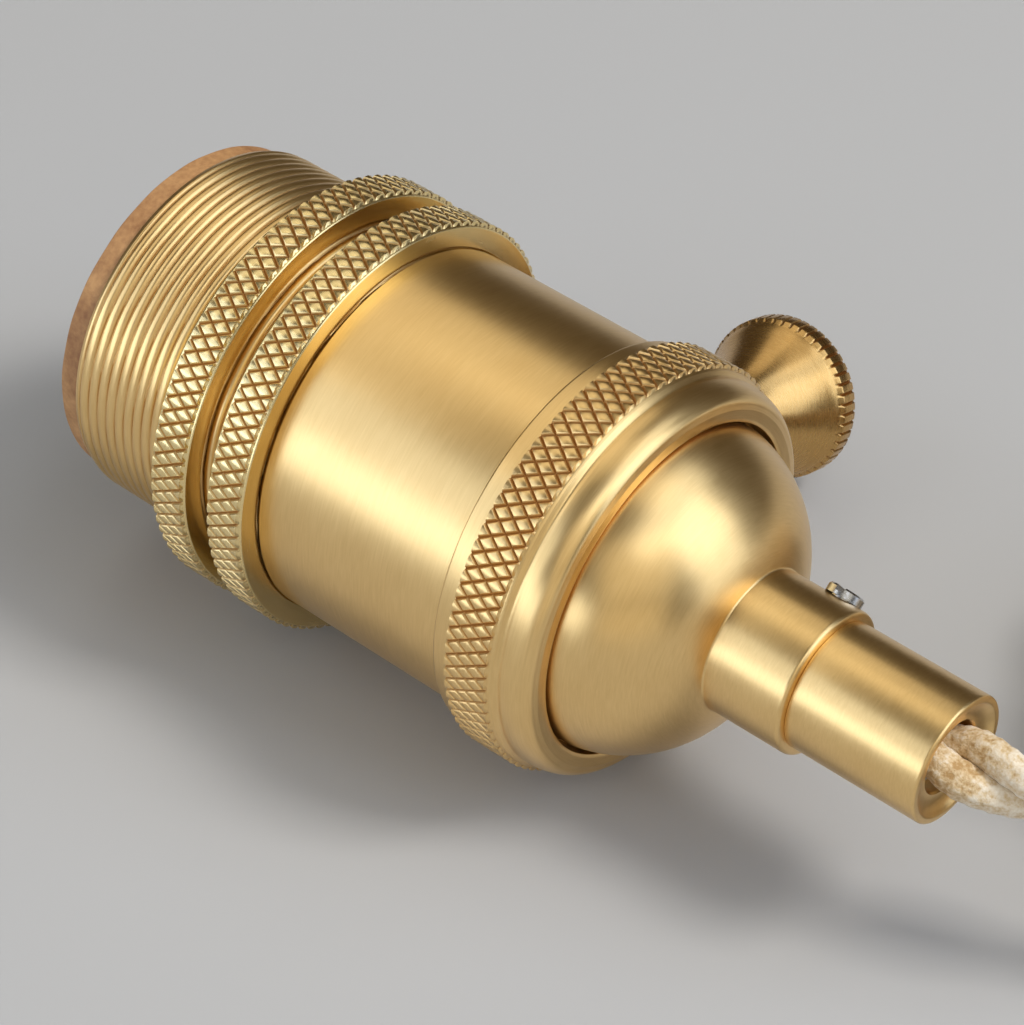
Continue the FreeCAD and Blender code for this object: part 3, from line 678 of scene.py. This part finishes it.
def makeKnob():
    look = knobShape
    rimBack = look["reach"] - look["rimWidth"]
    root = look["rimRadius"] - look["toothDepth"]
    base, reach, rimRadius, waist = look["base"], look["reach"], look["rimRadius"], look["waistRadius"]
    flareStart = base + look["hubLength"]
    flareRoot = (flareStart, waist + 0.35)
    hubCurve = arcThrough((base + 1.2, look["hubRadius"]), (base + 0.62 * look["hubLength"], waist), flareRoot, 12)
    flareCurve = arcThrough(flareRoot, (flareStart + 0.62 * (rimBack - flareStart), 0.42 * root + 0.58 * waist),
                            (rimBack - 0.35, root - 0.15), 20)
    face = arcThrough((reach, root - 0.3), (reach + 0.8 * look["faceRise"], 0.5 * root),
                      (reach + look["faceRise"], 0.01), 14)
    outline = roundedOutline([
        (base + look["socketDepth"], look["socket"]),
        (base, look["socket"]),
        (base, look["hubRadius"], 0.25),
        *hubCurve,
        *flareCurve[1:],
    ])
    rim = [
        (rimBack, root),
        (rimBack + 0.22, rimRadius - 0.06),
        (rimBack + 0.42, rimRadius),
        (rimBack + 1.3, rimRadius),
        (reach - 0.3, rimRadius),
        (reach - 0.1, rimRadius - 0.1),
        (reach, root),
    ]
    rimRows = len(outline)
    outline += [Vector(point) for point in rim + face]

    def toothed(i, x, radius, angle):
        if rimRows <= i < rimRows + len(rim):
            turn = (angle * look["teeth"] / (2 * math.pi)) % 1.0
            cut = max(0.0, 1 - abs(2 * turn - 1) / look["notchShare"])
            radius = max(root, radius - look["toothDepth"] * cut * cut * (3 - 2 * cut))
        return x, radius

    # share of painted shade in the notches between the rim's teeth
    def notch(x, radius):
        if not rimBack + 0.1 < x < reach - 0.05 or radius < root - 0.05:
            return 0.0
        return min(1.0, max(0.0, (rimRadius - radius) / look["toothDepth"] * 1.3 - 0.2))

    vertices, faces = turnedGrid(outline, look["teeth"] * look["segmentsPerTooth"], True, toothed)
    turn = lampAxis.rotation_difference(switchAxis).to_matrix().to_4x4()
    piece = pieceFromMesh("turnKnob", vertices, faces, brassKnob, Matrix.Translation(switchPlace) @ turn, 40, notch)
    return fit(piece, "switch", "knob_brass", "switch_knob")


makeKnob()
print("knob turned")


linerLook = {
    "wall": 0.85,
    "wave": 0.09,  # half the rim's unevenness
    "waveCounts": (3, 5, 8, 13, 21),  # waves round the rim
    "ply": 0.05,
    "shownLength": 2.6,
    "segments": 288,
}


def makeLiner():
    # rolled fibre tube with a hand-cut, slightly uneven rim
    look = linerLook
    rng = random.Random(11)
    waves = [(count, rng.uniform(0.3, 1.0), rng.uniform(0, 2 * math.pi)) for count in look["waveCounts"]]
    total = sum(size for _, size, _ in waves)
    inner = linerRadius - look["wall"]
    outline = roundedOutline([
        (linerStart, inner, 0.12),
        (linerStart, inner + 0.5 * look["wall"], 0.1),
        (linerStart + look["ply"], linerRadius, 0.2),
        (linerStart + look["shownLength"], linerRadius),
        (linerEnd, linerRadius, 0.1),
        (linerEnd, inner, 0.1),
    ], 5)

    def uneven(i, x, radius, angle):
        if x < linerStart + 0.5:
            wave = sum(size * (1 + math.sin(count * angle + phase)) for count, size, phase in waves)
            x += look["wave"] * wave / total
        return x, radius

    vertices, faces = turnedGrid(outline, look["segments"], True, uneven)
    piece = pieceFromMesh("fibreTube", vertices, faces, fibreMaterial, sharpAngle=50)
    return fit(piece, "holder", "pressed_fibre", "fibre_liner")


def plainFinish(name, look):
    # for the pieces that keep their solids: fine grain on colour, roughness and relief
    material, start = newMaterial(name)
    place = placeCoordinates(start)
    grain = noise(place, look["grain"], 4.0, 0.6)
    cloud = noise(place, look["cloud"])
    tone = grain * 0.5 + cloud * 0.5
    colour = tone.add("ShaderNodeValToRGB", {"stops": [(0.3, look["dark"]), (0.7, look["light"])]}, {"Fac": tone})
    rough = look["roughness"] + (grain - 0.5) * look["roughnessGrain"]
    constants = {"Metallic": look.get("metal", 0.0), "Coat Roughness": 0.1}
    links = {"Base Color": colour, "Roughness": rough}
    finishMaterial(start, constants, links, (grain, look["relief"]))
    return material


slotLooks = {
    "contact_brass": {"dark": (0.62, 0.45, 0.2), "light": (0.8, 0.62, 0.32), "roughness": 0.28, "roughnessGrain": 0.2,
                      "grain": 2500, "cloud": 200, "relief": 0.000006, "metal": 1.0},
    "spring_brass": {"dark": (0.5, 0.36, 0.16), "light": (0.72, 0.54, 0.28), "roughness": 0.3, "roughnessGrain": 0.2,
                     "grain": 2500, "cloud": 200, "relief": 0.000006, "metal": 1.0},
    "nickel": {"dark": (0.45, 0.44, 0.42), "light": (0.72, 0.71, 0.69), "roughness": 0.25, "roughnessGrain": 0.2,
               "grain": 3000, "cloud": 400, "relief": 0.000008, "metal": 1.0},
    "steel": {"dark": (0.4, 0.4, 0.4), "light": (0.6, 0.6, 0.6), "roughness": 0.3, "roughnessGrain": 0.2,
              "grain": 3000, "cloud": 300, "relief": 0.000006, "metal": 1.0},
    "pressed_fibre": {"dark": (0.25, 0.105, 0.035), "light": (0.52, 0.28, 0.11), "roughness": 0.75, "roughnessGrain": 0.3,
                      "grain": 1600, "cloud": 300, "relief": 0.00006},
    "porcelain": {"dark": (0.80, 0.78, 0.72), "light": (0.88, 0.86, 0.81), "roughness": 0.18, "roughnessGrain": 0.15,
                  "grain": 700, "cloud": 90, "relief": 0.000008},
    "nylon": {"dark": (0.70, 0.68, 0.62), "light": (0.82, 0.80, 0.74), "roughness": 0.5, "roughnessGrain": 0.2,
              "grain": 1500, "cloud": 200, "relief": 0.00001},
    "core_sleeve": {"dark": (0.66, 0.58, 0.42), "light": (0.80, 0.73, 0.58), "roughness": 0.5, "roughnessGrain": 0.2,
                    "grain": 1500, "cloud": 200, "relief": 0.00001},
    "copper": {"dark": (0.60, 0.28, 0.16), "light": (0.85, 0.48, 0.32), "roughness": 0.3, "roughnessGrain": 0.2,
               "grain": 3000, "cloud": 300, "relief": 0.00001, "metal": 1.0},
}
slotMaterials = {slotName: plainFinish(slotName, look) for slotName, look in slotLooks.items()}
fibreMaterial = slotMaterials["pressed_fibre"]
makeLiner()
slotMaterials["ring_brass"] = brassRings
slotMaterials["shell_brass"] = brassShell
slotMaterials["dome_brass"] = brassShell
slotMaterials["knob_brass"] = brassKnob
for part in frame["record"]["subparts"]:
    node = frame["nodes"][part["node"]]
    if part["material_slot"] in slotMaterials:
        node.data.materials.clear()
        node.data.materials.append(slotMaterials[part["material_slot"]])
print("solids dressed")


cordLook = {
    "radius": 3.0,  # as a cord lies on the floor and on itself
    "spread": 3.4,  # axis to the outside of a strand
    "strandRadius": 1.84,
    "strandSides": 28,
    "spacing": 0.59,  # rows along the cord
    "twistPitch": 31.0,
    "firstTwist": 1.35,
    "plaits": 7,
    "plaitPitch": 5.2,
    "plaitSlope": 1.5,
    "plaitRelief": 0.26,
    "swell": 0.1,  # the cover bulges where it leaves the grip
    "swellPlace": 18.5,
    "swellLength": 3.2,
    "coilRadius": 30.0,
    "coilTurns": 4.7,
    "pointsPerTurn": 20,
    "stepsIn": [(0.70, 0.98), (3.70, 3.98)],  # turns at which the coil steps inwards
    "stepOut": (2.22, 2.48),
    "stepsUp": [(1.5, 1.74), (2.98, 3.22)],
}
# the fall from the grip to the floor, in mm
cordPoints = [
    (99.0, 0.0, 0.0),
    (110.0, 4.6, -2.4),
    (119.3, 9.0, -8.0),
    (127.5, 12.8, -15.8),
    (135.7, 16.8, floorHeight / mm + cordLook["radius"]),
    (144.0, 21.5, floorHeight / mm + cordLook["radius"]),
]


def blend(turn, start, end, first, last):
    # an eased step from first to last
    share = min(1.0, max(0.0, (turn - start) / (end - start)))
    share = share * share * (3 - 2 * share)
    return first + (last - first) * share


def coilPoints():
    # two turns wide and three layers high: each step inwards, outwards or up
    # is done before the turn meets itself
    look = cordLook
    radius = look["radius"]
    last = Vector(cordPoints[-1])
    heading = (last - Vector(cordPoints[-2])).normalized()
    left = Vector((-heading.y, heading.x, 0)).normalized()
    outer, inner = look["coilRadius"] + radius, look["coilRadius"] - radius
    centre = last + left * outer
    start = math.atan2(-left.y, -left.x)
    step = 2 * math.pi / look["pointsPerTurn"]
    swell = 1 / math.cos(step / 2) ** 1.5  # the curve cuts its corners, so its points stand out
    points = []
    for i in range(1, int(look["coilTurns"] * look["pointsPerTurn"]) + 1):
        turn = i / look["pointsPerTurn"]
        reach = outer + blend(turn, *look["stepOut"], 0, outer - inner)
        reach -= sum(blend(turn, *ramp, 0, outer - inner) for ramp in look["stepsIn"])
        lift = sum(blend(turn, *ramp, 0, 2 * radius) for ramp in look["stepsUp"])
        angle = start + i * step
        points.append((centre.x + reach * swell * math.cos(angle), centre.y + reach * swell * math.sin(angle),
                       last.z + lift))
    return points


def routeCurve():
    low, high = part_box("cord")
    points = [(low.x / mm, 0.0, 0.0)] + cordPoints + coilPoints()
    data = bpy.data.curves.new("route", "CURVE")
    data.dimensions = "3D"
    data.resolution_u = 10
    spline = data.splines.new("NURBS")
    spline.points.add(len(points) - 1)
    for target, place in zip(spline.points, points):
        target.co = (place[0] * mm, place[1] * mm, place[2] * mm, 1)
    spline.order_u = 3
    spline.use_endpoint_u = True
    return bpy.data.objects.new("route", data)


def readRoute(curve):
    bpy.context.scene.collection.objects.link(curve)
    bpy.context.view_layer.update()
    mesh = bpy.data.meshes.new_from_object(curve)
    path = [v.co.copy() for v in mesh.vertices]
    bpy.data.meshes.remove(mesh)
    bpy.data.objects.remove(curve)
    return path


def evenPath(path, spacing):
    # the same line with its points at an even spacing
    even = [path[0]]
    carry = 0.0
    for a, b in zip(path, path[1:]):
        run = (b - a).length
        reach = spacing - carry
        while reach <= run:
            even.append(a.lerp(b, reach / run))
            reach += spacing
        carry = run - (reach - spacing)
    return even


def strandMesh(path, look):
    # two strands twisted about the route, each a round tube with the relief of its braid
    across = look["strandSides"]
    relief = []
    vertices = []
    faces = []
    normal = Vector((0, 0, 1))
    frames = []
    for i, here in enumerate(path):
        ahead = path[min(i + 1, len(path) - 1)] - path[max(i - 1, 0)]
        tangent = ahead.normalized()
        normal = (normal - tangent * normal.dot(tangent)).normalized()
        frames.append((here, tangent, normal.copy(), tangent.cross(normal)))
    for strand in range(2):
        offset = len(vertices)
        travelled = 0.0
        for i, (here, tangent, side, up) in enumerate(frames):
            if i:
                travelled += (here - frames[i - 1][0]).length / mm
            twist = 2 * math.pi * travelled / look["twistPitch"] + math.pi * strand + look["firstTwist"]
            full = 1 + look["swell"] * math.exp(-((travelled - look["swellPlace"]) / look["swellLength"]) ** 2)
            offAxis = (look["spread"] - look["strandRadius"]) * full * mm
            centre = here + (side * math.cos(twist) + up * math.sin(twist)) * offAxis
            shift = 2 * math.pi * travelled / look["plaitPitch"] * look["plaitSlope"]
            for j in range(across):
                angle = 2 * math.pi * j / across
                turn = angle * look["plaits"] / 2
                valley = 0.5 - 0.5 * math.sin(turn + shift) * math.sin(turn - shift)
                radius = (look["strandRadius"] - look["plaitRelief"] * valley) * full * mm
                relief.append(valley)
                vertices.append(centre + (side * math.cos(angle) + up * math.sin(angle)) * radius)
        rows = len(frames)
        for i in range(rows - 1):
            for j in range(across):
                a = offset + i * across + j
                b = offset + i * across + (j + 1) % across
                faces.append((a, b, b + across, a + across))
        faces.append(tuple(offset + j for j in reversed(range(across))))
        faces.append(tuple(offset + (rows - 1) * across + j for j in range(across)))
    return [v / mm for v in vertices], faces, relief


braidLook = {
    "fine": 2600.0,
    "yarn": 1050.0,
    "cloud": 300.0,
    "colours": [
        (0.30, (0.42, 0.25, 0.09)),
        (0.42, (0.62, 0.46, 0.26)),
        (0.53, (0.73, 0.62, 0.46)),
        (0.68, (0.81, 0.73, 0.59)),
    ],
    "exitTintReach": 0.006,  # the cover is darker and browner for this far out of the grip
    "exitTintFade": 20.0,
    "exitTint": 0.09,
    # painted shade in the braid's valleys, with a lighter tone on its ridges
    "valley": 0.12,
    "roughness": 0.55,
    "roughnessGrain": 0.3,
    "relief": 0.00012,
}


def cordMaterial():
    look = braidLook
    material, start = newMaterial("cordBraid")
    place = placeCoordinates(start)
    fine = noise(place, look["fine"], 3.0, 0.6)
    yarn = noise(place, look["yarn"])
    cloud = noise(place, look["cloud"])
    far = place.add("ShaderNodeSeparateXYZ", {}, {0: place}, 0)
    # the cover's tone is lowered, so darker and browner, near the grip's end
    exitTint = (gripEnd * mm - far + look["exitTintReach"]) * look["exitTintFade"]
    exitTint = exitTint.math("MINIMUM", exitTint.math("MAXIMUM", exitTint, 0.0), look["exitTint"])
    valley = start.add("ShaderNodeAttribute", {"attribute_name": "groove"}, {}, 2)
    # painted shade: the braid's valleys are darker and its ridges lighter
    tone = fine * 0.5 + yarn * 0.3 + cloud * 0.2 - exitTint - (valley - 0.5) * look["valley"]
    colour = tone.add("ShaderNodeValToRGB", {"stops": look["colours"]}, {"Fac": tone})
    rough = look["roughness"] + (fine - 0.5) * look["roughnessGrain"]
    constants = {"Sheen Weight": 0.35, "Sheen Roughness": 0.4}
    finishMaterial(start, constants, {"Base Color": colour, "Roughness": rough}, (fine, look["relief"]))
    return material


route = evenPath(readRoute(routeCurve()), cordLook["spacing"] * mm)
vertices, faces, relief = strandMesh(route, cordLook)
cordPiece = pieceFromMesh("twistedCord", vertices, faces, cordMaterial(), sharpAngle=70)
depths = cordPiece.data.attributes.new("groove", "FLOAT", "POINT")
if len(depths.data) != len(relief):
    raise SystemExit("the cord's mesh lost points")
depths.data.foreach_set("value", relief)
fit(cordPiece, "holder", "cord_fabric", "cord", "cord_coil")
routeLength = sum((b - a).length for a, b in zip(route, route[1:]))
print("cord length", round(routeLength, 3))


floorLook = {
    "colour": (0.40, 0.39, 0.375, 1),
    "roughness": 0.85,
    "size": 4.0,
    "drop": 0.00005,  # just under the lowest piece
}


def makeStage():
    mesh = bpy.data.meshes.new("floor")
    size = floorLook["size"]
    z = floorHeight - floorLook["drop"]
    mesh.from_pydata([(-size, -size, z), (size, -size, z), (size, size, z), (-size, size, z)], [], [(0, 1, 2, 3)])
    floor = bpy.data.objects.new("floor", mesh)
    bpy.context.scene.collection.objects.link(floor)
    material, start = newMaterial("paleFloor")
    finishMaterial(start, {"Base Color": floorLook["colour"], "Roughness": floorLook["roughness"]}, {})
    mesh.materials.append(material)


coolWhite = (0.87, 1.0, 1.23)
warmWhite = (1.05, 1.0, 0.87)
lampLooks = {
    # azimuth, elevation, distance, size, radiance and colour of each soft box
    "sideSoft": (-115, 11, 0.7, (1.10, 0.26), 2.1, coolWhite),
    "sideHigh": (-126, 35, 1.0, (0.85, 0.48), 1.15, coolWhite),
    "keyHigh": (18, 66, 1.0, (1.35, 0.42), 1.3, coolWhite),
    "keySoft": (20, 38, 1.0, (0.72, 0.62), 2.1, coolWhite),
    "keyLow": (20, 10, 1.0, (0.60, 0.36), 1.6, coolWhite),
    "backSoft": (170, 56, 1.0, (1.30, 0.50), 0.82, warmWhite),
    "topSoft": (110, 82, 1.1, (0.8, 0.5), 0.7, warmWhite),
    "frontLow": (-45, 8, 1.0, (0.9, 0.36), 0.6, warmWhite),
    "frontHigh": (-42, 42, 1.1, (1.1, 0.8), 0.62, warmWhite),
    "sunSpot": (24, 51, 1.6, (0.42, 0.42), 29, (1.02, 1.0, 0.97)),
}
lampAim = (0.045, 0.0, 0.0)
worldLook = {
    "bright": (0.116, 0.106, 0.091),
    "dark": (0.07, 0.052, 0.032),
    "towards": (0.35, -0.85, 0.40),
}


def makeLights():
    for name, (azimuth, elevation, distance, size, radiance, colour) in lampLooks.items():
        around, above = math.radians(azimuth), math.radians(elevation)
        away = Vector((math.cos(around) * math.cos(above), math.sin(around) * math.cos(above), math.sin(above)))
        data = bpy.data.lights.new(name, "AREA")
        data.shape = "RECTANGLE"
        data.size, data.size_y = size
        data.energy = radiance * math.pi * data.size * data.size_y
        data.color = colour
        lamp = bpy.data.objects.new(name, data)
        lamp.location = Vector(lampAim) + away * distance
        # the hard lamp draws the shadow; the polished metal mirrors only the soft boxes
        lamp.visible_glossy = name != "sunSpot"
        lamp.rotation_euler = away.to_track_quat("Z", "Y").to_euler()
        bpy.context.scene.collection.objects.link(lamp)


def makeWorld():
    # a dim room, brighter on the side that the big softboxes stand on
    world = bpy.data.worlds.new("studio")
    world.use_nodes = True
    tree = world.node_tree
    tree.nodes.clear()
    start = Wire(tree)
    direction = start.add("ShaderNodeTexCoord", {}, {}, 0)
    towards = Vector(worldLook["towards"]).normalized()
    facing = direction.add("ShaderNodeVectorMath", {"operation": "DOT_PRODUCT"}, {0: direction, 1: towards}, 1)
    stops = [(0.2, worldLook["dark"]), (0.75, worldLook["bright"])]
    colour = facing.add("ShaderNodeValToRGB", {"stops": stops}, {"Fac": facing * 0.5 + 0.5})
    shader = start.add("ShaderNodeBackground", {}, {"Color": colour, "Strength": 1.0})
    start.add("ShaderNodeOutputWorld", {}, {"Surface": shader})
    bpy.context.scene.world = world


cameraLook = {
    "azimuth": 40.08,
    "elevation": 42.63,
    "roll": 0.92,
    "distance": 0.365,
    "aim": (0.0424, -0.0002, -0.0016),
    "lens": 127.9,
}


def makeCamera():
    look = cameraLook
    around, above = math.radians(look["azimuth"]), math.radians(look["elevation"])
    back = Vector((math.sin(around) * math.cos(above), -math.cos(around) * math.cos(above), math.sin(above)))
    right = Vector((0, 0, 1)).cross(back).normalized()
    up = back.cross(right)
    data = bpy.data.cameras.new("view")
    data.lens = look["lens"]
    data.sensor_width = 36.0
    data.clip_start = 0.01
    camera = bpy.data.objects.new("view", data)
    turn = Matrix((right, up, back)).transposed()
    place = Vector(look["aim"]) + back * look["distance"]
    level = Matrix.LocRotScale(place, turn.to_quaternion(), None)
    camera.matrix_world = level @ Matrix.Rotation(math.radians(look["roll"]), 4, "Z")
    bpy.context.scene.collection.objects.link(camera)
    bpy.context.scene.camera = camera


makeStage()
makeLights()
makeWorld()
makeCamera()
bpy.context.scene.view_settings.view_transform = "Standard"
print("stage set")
